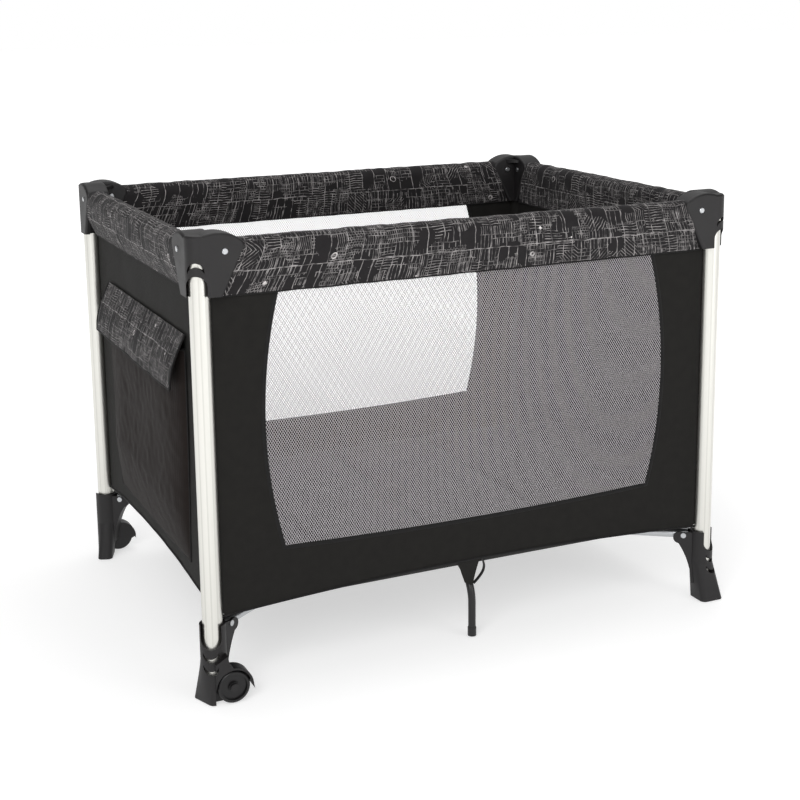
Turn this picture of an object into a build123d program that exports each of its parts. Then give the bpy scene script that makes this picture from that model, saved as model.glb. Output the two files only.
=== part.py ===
"""A folding playpen: four corner posts, hinged top rails that lock at mid span, a folding X base with a
centre hub, fabric walls with two mesh windows, an end pocket with a flap, and a lift-out mattress.

Frame: millimetres, +Z up, origin on the floor at the centre of the playpen. X runs along the long sides,
-Y is the front. The left end (-X) carries the two wheels and the storage pocket.
"""

import math
import os

from build123d import *

os.makedirs("parts", exist_ok=True)

# ---- driving dimensions ---------------------------------------------------------------------------------
span_x = 980.0  # between post axes, along the long sides
span_y = 730.0  # between post axes, along the short sides
cap_top = 790.0  # overall height
running = 0.05  # radial clearance of a pin that turns in its hole
seat = 0.1  # radial clearance of a piece that sits on a post
gap = 0.5  # clearance beside a piece that swings in a slot
overcut = 10.0  # cuts run on this far past the piece's edge

post_radius, post_wall = 17.0, 1.6
post_foot_z = 60.0  # lower end of the post, inside its foot
post_head_drop = 30.0  # the post ends this far under the top of its cap

rail_radius, rail_wall = 11.0, 1.5
rail_drop = 30.0  # the rail's axis is this far under the top of the cap
rail_tail = 10.0  # the tube runs on past each pivot by this much
rail_setback = 38.0  # rail pivot from the post's axis
pin_radius = 3.0
rivet_head_radius, rivet_head_height = 5.0, 1.6

cap_wall = 5.0
cap_height = 102.0
cap_reach = 73.0
cap_lobe = 33.0  # how far the wings reach at their lower edge
wing_width = 44.0
wing_fillet = 5.0
cap_web_radius = 48.0
cap_rim = 3.0  # chamfer round the top of the cap's sleeve and the hub
cap_sleeve_drop, cap_web_drop = 4.0, 8.0  # sleeve and web end this far under the top of the cap
cap_hump = 0.45  # the wing is highest at this share of its reach
cap_brow_drop, cap_brow_back, cap_nose_back, cap_nose_drop = 12.0, 8.0, 5.0, 2.0
notch_gap = 0.5  # the arch that shows the post is wider than it by this much on each side
cap_arch_drop, cap_crescent_drop = 67.0, 46.0
foot_arch_drop, foot_crescent_drops = 40.0, (63.0, 85.0)
crescent_radius, crescent_depth = 14.0, 7.0
crescent_recess = 0.6  # the foot's crescents are cut in to this share of the post's radius
notch_facing = 30.0  # degrees from the long side's outward direction to the way the notches face

latch_pivot = 29.0  # half the spacing of the two pins in a mid-rail lock
latch_half_length, latch_width, latch_rise, latch_drop = 54.0, 30.0, 6.5, 21.0
latch_rounding, button_rounding = 6.0, 2.0
button_length, button_width, button_height = 12.0, 16.0, 15.0
button_travel, button_proud = 5.0, 5.5

foot_top = 137.0
foot_size = 48.0
foot_splay = 9.0  # the sole stands this much further out than the post
wheel_sole = (30.0, 56.0)  # the sole beside a wheel is a narrow blade
wheel_sole_at, wheel_sole_turn = (-8.0, 5.0), 21.0
sole_rounding = 10.0
lug_top_drop, lug_nose_drop, lug_run, lug_nose = 3.0, 6.0, 2.0, (15.0, 4.0)
lug_chin, lug_hollow, lug_shin_z = (9.0, 16.0), (8.0, 40.0), 30.0
foot_waist_z = 74.0
lug_width = 27.0
foot_pivot_reach = 34.0  # base arm's pivot from the post's axis
base_z = 126.0  # height of the base arms
arm_radius, arm_wall, arm_tail = 9.0, 1.2, 8.0

wheel_radius, wheel_width, axle_radius = 27.5, 18.0, 4.0
wheel_lift = 1.0  # the wheels clear the floor by this much until the other end is lifted
wheel_setback = 25.0  # wheel axle from the post's axis
wheel_out = 20.0  # the wheels stand this much further out than the post
wheel_plate, hood_gap, hood_wall = 6.0, 3.0, 3.5
neck_rise, neck_hollow, beak_reach, beak_drop, plate_drop = 12.0, 9.0, 2.0, 9.0, 12.0
axle_head, axle_head_height = 3.0, 2.0
tread_chamfer, rim_width, dish_depth, boss_width = 1.5, 5.0, 4.0, 5.0

hub_half_x, hub_half_y, hub_bottom, hub_top = 68.0, 72.0, 112.0, 142.0
hub_rounding = 30.0
leg_radius, leg_wall, leg_offset, leg_pin = 7.0, 1.2, 10.0, 2.0
leg_pivot_y, leg_reach_y, leg_bend = 30.0, 332.0, 62.0
leg_lift = 1.0
tip_height, tip_wall, tip_floor = 16.0, 1.0, 4.0

cloth = 1.6
wall_inset = 8.0  # end walls stand this far inside the post axes
wall_top_drop = 92.0  # walls reach up inside the top covers
wall_shoulder = 24.0  # the wall's top starts this far past the cap's lower edge
cap_clear = 6.0  # walls stay this far under the caps
cover_width, cover_rise, cover_height = 38.0, 13.0, 94.0
cover_clear, cover_parting = 1.5, 0.3
hem_z, hem_rise = 144.0, 18.0
end_hem_z, end_hem_rise = 150.0, 20.0
window_half, window_bulge = 360.0, 30.0
window_low, window_sag, window_header = 246.0, 8.0, 8.0
mesh_cloth = 0.8
floor_cloth, floor_gap = 1.5, 2.0
floor_corner, floor_margin, floor_lap = 78.0, 3.0, 0.2

mattress_thickness, mattress_gap = 25.0, 30.0
mattress_corner, crease_width, crease_depth = 40.0, 4.0, 3.0
strap_width, strap_reach, strap_rise, strap_thickness = 25.0, 30.0, 14.0, 2.5
strap_clear = 3.0

pocket_half, pocket_low, pocket_depth = 250.0, 195.0, 24.0
mouth_drop = 29.0  # the pocket's mouth is this far under the flap's top
flap_drop = 186.0  # the flap's top is this far under the top of the cap
flap_half, flap_height, flap_lead, flap_seam = 258.0, 92.0, 2.5, 4.0

# ---- worked out from them -------------------------------------------------------------------------------
half_x, half_y = span_x / 2, span_y / 2
rail_z = cap_top - rail_drop
cap_bottom = cap_top - cap_height
cap_radius = post_radius + cap_wall
half_right = math.sqrt(0.5)  # cosine and sine of 45 degrees
rail_swing = math.hypot(rail_tail, rail_radius)  # the end of a rail turns within this radius
arm_swing = math.hypot(arm_tail, arm_radius)
notch_radius = post_radius + notch_gap
pin_hole = pin_radius + running
rail_run = {"x": half_x - rail_setback - latch_pivot, "y": half_y - rail_setback - latch_pivot}
arm_run = math.hypot(rail_run["x"], rail_run["y"])  # equal folding angles need exactly this length
heading = Vector(rail_run["x"] / arm_run, rail_run["y"] / arm_run, 0)  # from a front left post to the hub
foot_pivot = heading * foot_pivot_reach
hub_pivot = Vector(rail_setback + latch_pivot - foot_pivot.X, rail_setback + latch_pivot - foot_pivot.Y, 0)
rail_slot_top = rail_z + rail_swing + 2 * gap
wheel_z = wheel_radius + wheel_lift
mattress_base = hub_top + 2 * floor_gap + floor_cloth + 2 * gap
flap_top = cap_top - flap_drop
pocket_high = flap_top - mouth_drop
# hole in the floor and the mattress for the pull strap
strap_slot = (2 * (strap_reach + strap_clear), strap_width + 2 * strap_clear)
corners = {"front_left": (-1, -1), "front_right": (1, -1), "back_left": (-1, 1), "back_right": (1, 1)}


def save(shape, name):
    """Labels a finished piece and writes it as one STEP file."""
    shape.label = name
    export_step(shape, f"parts/{name}.step")


def to_corner(shape, side_x, side_y):
    """Takes a piece drawn with its post on the Z axis and inwards along +X and +Y to one of the corners."""
    if side_x > 0:
        shape = mirror(shape, about=Plane.YZ)
    if side_y > 0:
        shape = mirror(shape, about=Plane.XZ)
    return Pos(side_x * half_x, side_y * half_y, 0) * shape


def outward_plane():
    """Vertical plane through the post that the arches and crescents are cut out from."""
    turn = math.radians(notch_facing)
    facing = (-math.sin(turn), -math.cos(turn), 0)
    return Plane(origin=(0, 0, 0), x_dir=(-facing[1], facing[0], 0), z_dir=facing)


def inward_plane():
    """Vertical plane that holds the post's axis and the base arm's line, with x towards the hub."""
    return Plane(origin=(0, 0, 0), x_dir=heading, z_dir=(heading.Y, -heading.X, 0))


# ---- corner posts ---------------------------------------------------------------------------------------
def make_post():
    """Extruded aluminium tube."""
    with BuildPart() as post:
        with BuildSketch(Plane.XY.offset(post_foot_z)):
            Circle(post_radius)
            Circle(post_radius - post_wall, mode=Mode.SUBTRACT)
        extrude(amount=cap_top - post_head_drop - post_foot_z)
    return post.part


# ---- top caps -------------------------------------------------------------------------------------------
def make_wing():
    """One arm of a cap, along +X: a rounded housing for the end of a top rail."""
    with BuildPart() as wing:
        with BuildSketch(Plane.XZ):
            with BuildLine():
                crown = ThreePointArc(
                    (0, cap_top - wing_fillet), (cap_reach * cap_hump, cap_top),
                    (cap_reach - cap_brow_back, cap_top - cap_brow_drop),
                )
                nose = TangentArc(
                    crown @ 1, (cap_reach - cap_nose_back, rail_z - cap_nose_drop), tangent=crown % 1
                )
                Polyline(nose @ 1, (cap_lobe, cap_bottom), (0, cap_bottom), crown @ 0)
            make_face()
        extrude(amount=wing_width / 2, both=True)
        rim = wing.faces().filter_by(Axis.Y).edges()
        rim = rim.filter_by(lambda edge: edge.center().X > gap and edge.center().Z > cap_bottom + gap)
        fillet(rim, radius=wing_fillet)
    return wing.part


def make_cap():
    """Moulded corner: a sleeve on the post and two wings that hold the rail pivots."""
    wing = make_wing()
    with BuildPart() as cap:
        with BuildSketch(Plane.XY.offset(cap_bottom)):
            Circle(cap_radius)
        extrude(amount=cap_height - cap_sleeve_drop)
        chamfer(cap.edges().group_by(Axis.Z)[-1], length=cap_rim)
        add(wing)
        add(mirror(wing, about=Plane(origin=(0, 0, 0), z_dir=(1, -1, 0))))
        with BuildSketch(Plane.XY.offset(rail_slot_top)):
            Circle(cap_web_radius)
            with Locations((cap_web_radius / 2, cap_web_radius / 2)):
                Rectangle(cap_web_radius, cap_web_radius, mode=Mode.INTERSECT)
        extrude(amount=cap_top - cap_web_drop - rail_slot_top)
        # the post's socket, and slots that are open below and at the end so that the rails can swing down
        with BuildSketch(Plane.XY.offset(cap_bottom)):
            Circle(post_radius + seat)
        extrude(amount=cap_height - post_head_drop + gap, mode=Mode.SUBTRACT)
        slot_from = rail_setback - rail_swing - 4 * gap
        slot_height = rail_slot_top - cap_bottom + overcut
        for along_x in (True, False):
            reach = cap_reach + overcut - slot_from
            middle = slot_from + reach / 2
            spot = (middle, 0) if along_x else (0, middle)
            size = (reach, 2 * (rail_radius + gap))
            with BuildSketch(Plane.XY.offset(rail_slot_top)):
                with Locations(spot):
                    Rectangle(*(size if along_x else size[::-1]))
            extrude(amount=-slot_height, mode=Mode.SUBTRACT)
            with BuildSketch(Plane.XZ if along_x else Plane.YZ):
                with Locations((rail_setback, rail_z)):
                    Circle(pin_hole)
            extrude(amount=wing_width, both=True, mode=Mode.SUBTRACT)
        # arch and crescent that show the post on the outside of the corner
        arch_z = cap_top - cap_arch_drop - notch_radius
        with BuildSketch(outward_plane()):
            with Locations((0, arch_z - cap_height / 2)):
                Rectangle(2 * notch_radius, cap_height)
            with Locations((0, arch_z)):
                Circle(notch_radius)
        extrude(amount=2 * cap_radius, mode=Mode.SUBTRACT)
        with BuildSketch(outward_plane()):
            with Locations((0, cap_top - cap_crescent_drop - crescent_radius)):
                Circle(crescent_radius)
                with Locations((0, -crescent_depth)):
                    Circle(crescent_radius, mode=Mode.SUBTRACT)
        extrude(amount=2 * cap_radius, mode=Mode.SUBTRACT)
    return cap.part


# ---- feet -----------------------------------------------------------------------------------------------
def foot_body(sole_size, sole_at, sole_turn=0.0):
    """Foot moulding: a sleeve on the post, a sole that spreads outwards and a forked lug for the base arm."""
    with BuildPart() as foot:
        with BuildSketch(Plane.XY.offset(foot_waist_z)):
            Circle(cap_radius)
        extrude(amount=foot_top - foot_waist_z)
        with BuildSketch(Plane.XY.offset(foot_waist_z)):
            Circle(cap_radius)
        with BuildSketch(Plane.XY):
            with Locations(Location((*sole_at, 0), sole_turn)):
                RectangleRounded(*sole_size, sole_rounding)
        loft()
        with BuildSketch(inward_plane()):
            with BuildLine():
                lug_corner = (foot_pivot_reach + lug_run, foot_top - lug_nose_drop)
                top = Line((0, foot_top - lug_top_drop), lug_corner)
                nose = ThreePointArc(
                    top @ 1, (foot_pivot_reach + lug_nose[0], base_z + lug_nose[1]),
                    (foot_pivot_reach + lug_chin[0], base_z - lug_chin[1]),
                )
                hollow = ThreePointArc(
                    nose @ 1, (cap_radius + lug_hollow[0], base_z - lug_hollow[1]), (post_radius, lug_shin_z)
                )
                Polyline(hollow @ 1, (0, lug_shin_z), top @ 0)
            make_face()
        extrude(amount=lug_width / 2, both=True)
    return foot.part


def finish_foot(body):
    """Cuts what every foot has: the arm's slot and rivet hole, the post's socket, arch and crescents."""
    with BuildPart() as foot:
        add(body)
        # slot for the arm, open upwards and inwards, and its rivet hole
        slot_from = foot_pivot_reach - arm_swing - 2 * gap
        with BuildSketch(inward_plane()):
            with Locations((slot_from + foot_size / 2, base_z + overcut)):
                Rectangle(foot_size, 2 * (arm_swing + overcut))
        extrude(amount=arm_radius + gap, both=True, mode=Mode.SUBTRACT)
        with BuildSketch(inward_plane()):
            with Locations((foot_pivot_reach, base_z)):
                Circle(pin_hole)
        extrude(amount=lug_width, both=True, mode=Mode.SUBTRACT)
        # the post's socket, then the arch and the crescents that show the post
        with BuildSketch(Plane.XY.offset(post_foot_z - gap)):
            Circle(post_radius + seat)
        extrude(amount=foot_top, mode=Mode.SUBTRACT)
        arch_z = foot_top - foot_arch_drop + notch_radius
        with BuildSketch(outward_plane()):
            with Locations((0, arch_z + foot_arch_drop / 2)):
                Rectangle(2 * notch_radius, foot_arch_drop)
            with Locations((0, arch_z)):
                Circle(notch_radius)
        extrude(amount=2 * cap_radius, mode=Mode.SUBTRACT)
        for drop in foot_crescent_drops:
            with BuildSketch(outward_plane().offset(post_radius * crescent_recess)):
                with Locations((0, foot_top - drop + crescent_radius)):
                    Circle(crescent_radius)
                    with Locations((0, crescent_depth)):
                        Circle(crescent_radius, mode=Mode.SUBTRACT)
            extrude(amount=2 * cap_radius, mode=Mode.SUBTRACT)
    return foot.part


def make_plain_foot():
    """Foot of the right end: a full sole that spreads outwards from the post."""
    return finish_foot(foot_body((foot_size, foot_size), (-foot_splay, -foot_splay)))


def make_wheel_foot():
    """Foot of the left end: a blade of a sole, and a hood with a steel axle for the wheel beside it."""
    cavity = wheel_radius + hood_gap
    hood_radius = cavity + hood_wall
    inner = wheel_out - wheel_width / 2 - 2 * gap  # the wheel's cavity starts this far outwards from the post
    outer = wheel_out + wheel_width / 2 + 2 * gap
    plain = foot_body(wheel_sole, wheel_sole_at, wheel_sole_turn)
    with BuildPart() as foot:
        add(plain)
        # hood over the wheel: it leaves the column at the waist and ends in a beak
        collar = (cap_radius - wheel_plate, foot_waist_z + neck_rise)
        waist = (cap_radius - hood_gap, wheel_z + hood_radius + neck_hollow)
        crest = (wheel_setback, wheel_z + hood_radius)
        shoulder = (wheel_setback + hood_radius * half_right, wheel_z + hood_radius * half_right)
        with BuildSketch(Plane.XZ.offset(inner)):
            with BuildLine():
                column = Line((wheel_setback - cavity, wheel_z), (wheel_setback - cavity, foot_waist_z))
                top = Line(column @ 1, collar)
                neck = ThreePointArc(top @ 1, waist, crest)
                back = ThreePointArc(neck @ 1, shoulder, (wheel_setback + hood_radius, wheel_z))
                beak = Polyline(
                    back @ 1, (wheel_setback + hood_radius + beak_reach, wheel_z - beak_drop),
                    (wheel_setback + cavity, wheel_z),
                )
                ThreePointArc(beak @ 1, (wheel_setback, wheel_z + cavity), column @ 0)
            make_face()
        extrude(amount=outer - inner)
        # plate behind the wheel that holds its axle
        with BuildSketch(Plane.XZ.offset(inner)):
            with BuildLine():
                neck = ThreePointArc(collar, waist, crest)
                back = ThreePointArc(neck @ 1, shoulder, (wheel_setback + hood_radius, wheel_z))
                low = wheel_z - plate_drop
                Polyline(
                    back @ 1, (wheel_setback + 2 * axle_radius, low), (0, low), (0, foot_waist_z), neck @ 0
                )
            make_face()
        extrude(amount=-wheel_plate)
        # room for the wheel, and the hole that its axle is pressed into
        with BuildSketch(Plane.XZ.offset(inner)):
            with Locations((wheel_setback, wheel_z)):
                Circle(cavity)
                with Locations((0, -wheel_z)):
                    Rectangle(2 * cavity, 2 * wheel_z)
        extrude(amount=4 * wheel_width, mode=Mode.SUBTRACT)
        with BuildSketch(Plane.XZ.offset(wheel_out)):
            with Locations((wheel_setback, wheel_z)):
                Circle(axle_radius)
        extrude(amount=-wheel_width - wheel_plate, mode=Mode.SUBTRACT)
    foot = finish_foot(foot.part)
    with BuildPart() as axle:
        with BuildSketch(Plane.XZ.offset(inner - wheel_plate)):
            with Locations((wheel_setback, wheel_z)):
                Circle(axle_radius)
        extrude(amount=wheel_plate + outer - inner)
        with BuildSketch(Plane.XZ.offset(outer)):
            with Locations((wheel_setback, wheel_z)):
                Circle(axle_radius + axle_head)
        extrude(amount=axle_head_height)
    return Compound(children=[foot, axle.part])


def make_wheel():
    """Moulded wheel with a raised tread and a dished face."""
    half = wheel_width / 2
    with BuildPart() as wheel:
        with BuildSketch(Plane.XZ.offset(wheel_out - half)):
            with Locations((wheel_setback, wheel_z)):
                Circle(wheel_radius)
        extrude(amount=wheel_width)
        chamfer(wheel.edges().filter_by(GeomType.CIRCLE), length=tread_chamfer)
        with BuildSketch(Plane.XZ.offset(wheel_out + half)):
            with Locations((wheel_setback, wheel_z)):
                Circle(wheel_radius - rim_width)
                Circle(axle_radius + boss_width, mode=Mode.SUBTRACT)
        extrude(amount=-dish_depth, mode=Mode.SUBTRACT)
        with BuildSketch(Plane.XZ.offset(wheel_out - half)):
            with Locations((wheel_setback, wheel_z)):
                Circle(axle_radius + running)
        extrude(amount=wheel_width, mode=Mode.SUBTRACT)
    return wheel.part


# ---- top rails and their locks --------------------------------------------------------------------------
def make_rail(run):
    """Half a top rail along +X from its cap pivot, with the rivet it turns on in the cap."""
    start, end = rail_setback, rail_setback + run
    with BuildPart() as tube:
        with BuildSketch(Plane.YZ.offset(start - rail_tail)):
            with Locations((0, rail_z)):
                Circle(rail_radius)
                Circle(rail_radius - rail_wall, mode=Mode.SUBTRACT)
        extrude(amount=run + 2 * rail_tail)
        with BuildSketch(Plane.XZ):
            with Locations((start, rail_z)):
                Circle(pin_radius)
            with Locations((end, rail_z)):
                Circle(pin_radius + 2 * gap)
        extrude(amount=2 * rail_radius, both=True, mode=Mode.SUBTRACT)
    with BuildPart() as rivet:
        half = wing_width / 2 + running
        with BuildSketch(Plane.XZ.offset(-half)):
            with Locations((start, rail_z)):
                Circle(pin_radius)
        extrude(amount=2 * half)
        for side in (-1, 1):
            with BuildSketch(Plane.XZ.offset(side * half)):
                with Locations((start, rail_z)):
                    Circle(rivet_head_radius)
            extrude(amount=side * rivet_head_height)
        for end_edge in (rivet.edges().group_by(Axis.Y)[0], rivet.edges().group_by(Axis.Y)[-1]):
            chamfer(end_edge, length=rivet_head_height / 2)
    return Compound(children=[tube.part, rivet.part])


def make_latch():
    """Mid-rail lock along X, centred on the Z axis: a housing that is open above, two rail pins and a guide
    for the release button underneath."""
    with BuildPart() as body:
        with BuildSketch(Plane.XY.offset(rail_z - latch_drop)):
            RectangleRounded(2 * latch_half_length, latch_width, latch_rounding)
        extrude(amount=latch_drop + latch_rise)
        turn = rail_swing + gap
        slot_from = latch_pivot - turn
        for side in (-1, 1):
            with BuildSketch(Plane.XY.offset(rail_z + latch_rise)):
                with Locations((side * (slot_from + latch_half_length / 2), 0)):
                    Rectangle(latch_half_length, 2 * (rail_radius + gap))
            extrude(amount=-latch_rise - turn, mode=Mode.SUBTRACT)
            with BuildSketch(Plane.XZ):
                with Locations((side * latch_pivot, rail_z)):
                    Circle(pin_radius)
            extrude(amount=latch_width, both=True, mode=Mode.SUBTRACT)
        with BuildSketch(Plane.XY.offset(rail_z - latch_drop)):
            Rectangle(button_length + gap, button_width + gap)
        extrude(amount=button_height + button_travel - button_proud, mode=Mode.SUBTRACT)
    pins = []
    for side in (-1, 1):
        with BuildPart() as pin:
            with BuildSketch(Plane.XZ.offset(-latch_width / 2)):
                with Locations((side * latch_pivot, rail_z)):
                    Circle(pin_radius)
            extrude(amount=latch_width)
        pins.append(pin.part)
    return Compound(children=[body.part, *pins])


def make_button():
    """Release button, which is pushed up into the lock."""
    with BuildPart() as button:
        with BuildSketch(Plane.XY.offset(rail_z - latch_drop - button_proud)):
            RectangleRounded(button_length, button_width, button_rounding)
        extrude(amount=button_height - gap)
    return button.part


# ---- base: arms, hub, centre legs -----------------------------------------------------------------------
def make_arm():
    """Base arm from a foot to the hub, with the rivets it turns on at both ends."""
    side_way = Vector(heading.Y, -heading.X, 0)
    start = foot_pivot + Vector(0, 0, base_z)
    with BuildPart() as tube:
        with BuildSketch(Plane(origin=start - heading * arm_tail, x_dir=side_way, z_dir=heading)):
            Circle(arm_radius)
            Circle(arm_radius - arm_wall, mode=Mode.SUBTRACT)
        extrude(amount=arm_run + 2 * arm_tail)
        for along in (0, arm_run):
            with BuildSketch(Plane(origin=start + heading * along, x_dir=heading, z_dir=side_way)):
                Circle(pin_radius)
            extrude(amount=2 * arm_radius, both=True, mode=Mode.SUBTRACT)
    rivets = []
    for along in (0, arm_run):
        with BuildPart() as rivet:
            place = Plane(origin=start + heading * along, x_dir=heading, z_dir=side_way)
            with BuildSketch(place):
                Circle(pin_radius)
            extrude(amount=lug_width / 2 + running, both=True)
            if along == 0:  # the heads at the foot; the hub hides its own
                for side in (-1, 1):
                    with BuildSketch(place.offset(side * (lug_width / 2 + running))):
                        Circle(rivet_head_radius)
                    extrude(amount=side * rivet_head_height)
        rivets.append(rivet.part)
    return Compound(children=[tube.part, *rivets])


def hub_slots():
    """Where the arms and legs run into the hub: (pivot, direction outwards, tube radius, half pin length)."""
    found = []
    for side_x, side_y in corners.values():
        pivot = Vector(side_x * hub_pivot.X, side_y * hub_pivot.Y, base_z)
        found.append((pivot, Vector(side_x * heading.X, side_y * heading.Y, 0), arm_radius, lug_width / 2))
    for side in (-1, 1):
        pivot = Vector(-side * leg_offset, side * leg_pivot_y, base_z)
        found.append((pivot, Vector(0, side, 0), leg_radius, leg_radius + leg_pin))
    return found


def make_hub():
    """Centre hub, open below, with a slot and a pin bore for each arm and leg."""
    with BuildPart() as hub:
        with BuildSketch(Plane.XY.offset(hub_bottom)):
            RectangleRounded(2 * hub_half_x, 2 * hub_half_y, hub_rounding)
        extrude(amount=hub_top - hub_bottom)
        chamfer(hub.edges().group_by(Axis.Z)[-1], length=cap_rim)
        turn = arm_swing + gap
        with BuildSketch(Plane.XY.offset(base_z + turn)):
            for pivot, way, radius, pin in hub_slots():
                middle = pivot + way * (hub_half_y - turn) / 2
                angle = math.degrees(math.atan2(way.Y, way.X))
                with Locations(Location((middle.X, middle.Y, 0), angle)):
                    Rectangle(hub_half_y + turn, 2 * (radius + gap))
        extrude(amount=hub_bottom - base_z - 2 * turn, mode=Mode.SUBTRACT)
        for pivot, way, radius, pin in hub_slots():
            with BuildSketch(Plane(origin=pivot, x_dir=way, z_dir=(way.Y, -way.X, 0))):
                Circle(pin_hole)
            extrude(amount=pin + gap, both=True, mode=Mode.SUBTRACT)
    return hub.part


def make_hub_strap():
    """Webbing pull loop on top of the hub, flat where it is sewn and raised in the middle."""
    crown = mattress_base + mattress_thickness + strap_rise
    inside = strap_reach - strap_thickness
    with BuildPart() as strap:
        with BuildSketch(Plane.XZ):
            with BuildLine():
                arch = ThreePointArc((-strap_reach, hub_top), (0, crown), (strap_reach, hub_top))
                under = ThreePointArc((inside, hub_top), (0, crown - strap_thickness), (-inside, hub_top))
                Line(arch @ 1, under @ 0)
                Line(under @ 1, arch @ 0)
            make_face()
        extrude(amount=strap_width / 2, both=True)
    return strap.part


def make_leg(side):
    """Centre leg: a bent tube from the hub to the floor near the middle of a long side, with a rubber tip."""
    x = -side * leg_offset
    with BuildPart() as leg:
        with BuildLine() as path:
            FilletPolyline(
                (x, side * (leg_pivot_y - leg_radius), base_z),
                (x, side * leg_reach_y, base_z),
                (x, side * leg_reach_y, leg_lift + tip_floor),
                radius=leg_bend,
            )
        with BuildSketch(Plane(origin=path.line @ 0, z_dir=path.line % 0)):
            Circle(leg_radius)
            Circle(leg_radius - leg_wall, mode=Mode.SUBTRACT)
        sweep()
        with BuildSketch(Plane(origin=(x, side * leg_pivot_y, base_z), z_dir=(1, 0, 0))):
            Circle(pin_radius)
        extrude(amount=2 * leg_radius, both=True, mode=Mode.SUBTRACT)
    with BuildPart() as pin:
        with BuildSketch(Plane(origin=(x, side * leg_pivot_y, base_z), z_dir=(1, 0, 0))):
            Circle(pin_radius)
        extrude(amount=leg_radius + leg_pin, both=True)
    with BuildPart() as tip:
        with BuildSketch(Plane.XY.offset(leg_lift)):
            with Locations((x, side * leg_reach_y)):
                Circle(leg_radius + tip_wall)
        extrude(amount=tip_height)
        with BuildSketch(Plane.XY.offset(leg_lift + tip_floor)):
            with Locations((x, side * leg_reach_y)):
                Circle(leg_radius)
        extrude(amount=tip_height, mode=Mode.SUBTRACT)
    return Compound(children=[leg.part, pin.part, tip.part])


# ---- fabric ---------------------------------------------------------------------------------------------
def make_cover(end):
    """Half a printed top cover along +X: an upside-down channel of cloth over the rail and the lock."""
    start = cap_reach + cover_clear
    top, low = cap_top - cover_rise, cap_top - cover_rise - cover_height
    outer, inner = cover_width / 2, cover_width / 2 - cloth
    with BuildPart() as cover:
        with BuildSketch(Plane.YZ.offset(start)):
            for half, crown in ((outer, top), (inner, top - cloth)):
                mode = Mode.ADD if half == outer else Mode.SUBTRACT
                with Locations((0, (crown - half + low) / 2)):
                    Rectangle(2 * half, crown - half - low, mode=mode)
                with Locations((0, crown - half)):
                    Circle(half, mode=mode)
        extrude(amount=end - start - cover_parting)
    return cover.part


def wall_outline(half_span, low, rise):
    """Outline of a wall: top corners cut back under the caps, and a hem that arches up between the feet."""
    top = cap_top - wall_top_drop
    insets = (post_radius + 2 * gap, cap_lobe + cap_clear, cap_lobe + wall_shoulder)
    edge, lobe, shoulder = (half_span - inset for inset in insets)
    under = cap_bottom - cap_clear
    with BuildSketch() as outline:
        with BuildLine():
            hem = ThreePointArc((-edge, low), (0, low + rise), (edge, low))
            Polyline(
                hem @ 1, (edge, under), (lobe, under), (shoulder, top),
                (-shoulder, top), (-lobe, under), (-edge, under), hem @ 0,
            )
        make_face()
    return outline.sketch


def window_outline():
    """Mesh window: its sides bulge outwards and its sill sags a little."""
    top = cap_top - wall_top_drop - window_header
    middle = (top + window_low) / 2
    with BuildSketch() as outline:
        with BuildLine():
            sill = ThreePointArc(
                (-window_half, window_low), (0, window_low - window_sag), (window_half, window_low)
            )
            right = ThreePointArc(sill @ 1, (window_half + window_bulge, middle), (window_half, top))
            header = Line(right @ 1, (-window_half, top))
            ThreePointArc(header @ 1, (-window_half - window_bulge, middle), sill @ 0)
        make_face()
    return outline.sketch


def make_long_wall():
    """Front or back wall cloth, with its window cut out, in the plane Y = 0."""
    with BuildPart() as wall:
        with BuildSketch(Plane.XZ):
            add(wall_outline(half_x, hem_z, hem_rise))
            add(window_outline(), mode=Mode.SUBTRACT)
        extrude(amount=cloth / 2, both=True)
    return wall.part


def make_mesh():
    """Mesh panel that fills the window."""
    with BuildPart() as mesh:
        with BuildSketch(Plane.XZ):
            add(window_outline())
        extrude(amount=mesh_cloth / 2, both=True)
    return mesh.part


def make_end_wall():
    """End wall cloth in the plane X = 0."""
    with BuildPart() as wall:
        with BuildSketch(Plane.YZ):
            add(wall_outline(half_y, end_hem_z, end_hem_rise))
        extrude(amount=cloth / 2, both=True)
    return wall.part


def make_floor_quarter():
    """Quarter of the sewn-in floor, drawn for the front left corner in the playpen's own frame."""
    edge_x, edge_y = half_x - wall_inset - floor_margin, half_y - floor_margin
    with BuildPart() as floor:
        with BuildSketch(Plane.XY.offset(hub_top + floor_gap)):
            with BuildLine():
                Polyline(
                    (-floor_lap, -floor_lap), (-floor_lap, -edge_y), (-edge_x + floor_corner, -edge_y),
                    (-edge_x, -edge_y + floor_corner), (-edge_x, -floor_lap), close=True,
                )
            make_face()
            Rectangle(*strap_slot, mode=Mode.SUBTRACT)
        extrude(amount=floor_cloth)
    return floor.part


def make_mattress():
    """Lift-out mattress of four padded panels, with a slot for the pull strap."""
    size_x = span_x - 2 * mattress_gap
    size_y = span_y - 2 * mattress_gap
    with BuildPart() as mattress:
        with BuildSketch(Plane.XY.offset(mattress_base)):
            RectangleRounded(size_x, size_y, mattress_corner)
            Rectangle(*strap_slot, mode=Mode.SUBTRACT)
        extrude(amount=mattress_thickness)
        # fold lines between the four panels
        for line in (-1, 0, 1):
            with BuildSketch(Plane.XY.offset(mattress_base + mattress_thickness)):
                with Locations((line * size_x / 4, 0)):
                    Rectangle(crease_width, size_y)
            extrude(amount=-crease_depth, mode=Mode.SUBTRACT)
    return mattress.part


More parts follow.
